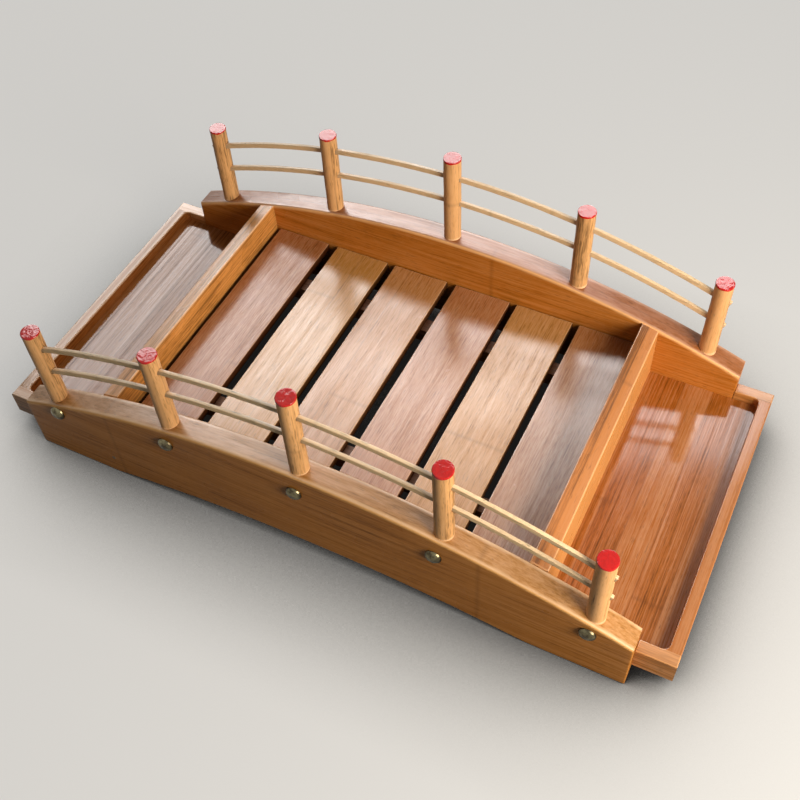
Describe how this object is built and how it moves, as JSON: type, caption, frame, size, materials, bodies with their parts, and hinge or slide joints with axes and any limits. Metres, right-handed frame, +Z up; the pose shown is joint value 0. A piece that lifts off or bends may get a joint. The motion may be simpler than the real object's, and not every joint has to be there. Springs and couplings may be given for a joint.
{
  "type": "sushi serving board",
  "caption": "Arched bamboo bridge board for serving sushi: a slatted deck between bowed side beams, a routed tray at each end, and a post and rail railing along each side.",
  "frame": {"origin": "on the table under the middle of the deck, at the centre of the footprint", "axes": "+X along the bridge towards the right tray, +Y from the front beam to the back beam, +Z up"},
  "size_m": [0.42, 0.2106, 0.1351],
  "materials": {
    "beam_bamboo": "laminated bamboo, satin varnish",
    "tray_bamboo": "laminated bamboo, gloss varnish",
    "wall_bamboo": "laminated bamboo, satin varnish",
    "slat_1_bamboo": "bamboo slat, satin varnish",
    "slat_2_bamboo": "bamboo slat, satin varnish",
    "slat_3_bamboo": "bamboo slat, satin varnish",
    "slat_4_bamboo": "bamboo slat, satin varnish",
    "slat_5_bamboo": "bamboo slat, satin varnish",
    "slat_6_bamboo": "bamboo slat, satin varnish",
    "bearer_bamboo": "bamboo, bare",
    "post_dowel": "turned bamboo dowel with a red painted top",
    "rail_stick": "thin bamboo stick, bare",
    "antique_brass": "antique brass plate, worn bright on the crown",
    "brad_steel": "plated steel wire"
  },
  "bodies": {
    "root": {"beam_front": "beam_bamboo", "beam_back": "beam_bamboo", "tray_left": "tray_bamboo", "tray_right": "tray_bamboo", "cross_wall_left": "wall_bamboo", "cross_wall_right": "wall_bamboo", "slat_1": "slat_1_bamboo", "slat_2": "slat_2_bamboo", "slat_3": "slat_3_bamboo", "slat_4": "slat_4_bamboo", "slat_5": "slat_5_bamboo", "slat_6": "slat_6_bamboo", "bearer_front": "bearer_bamboo", "bearer_back": "bearer_bamboo", "post_front_1": "post_dowel", "post_front_2": "post_dowel", "post_front_3": "post_dowel", "post_front_4": "post_dowel", "post_front_5": "post_dowel", "post_back_1": "post_dowel", "post_back_2": "post_dowel", "post_back_3": "post_dowel", "post_back_4": "post_dowel", "post_back_5": "post_dowel", "rail_front_upper": "rail_stick", "rail_front_lower": "rail_stick", "rail_back_upper": "rail_stick", "rail_back_lower": "rail_stick", "dome_nails_front": "antique_brass", "dome_nails_back": "antique_brass", "tray_brads_front": "brad_steel", "tray_brads_back": "brad_steel", "wall_brads": "brad_steel", "slat_brads": "brad_steel"}
  },
  "joints": []
}
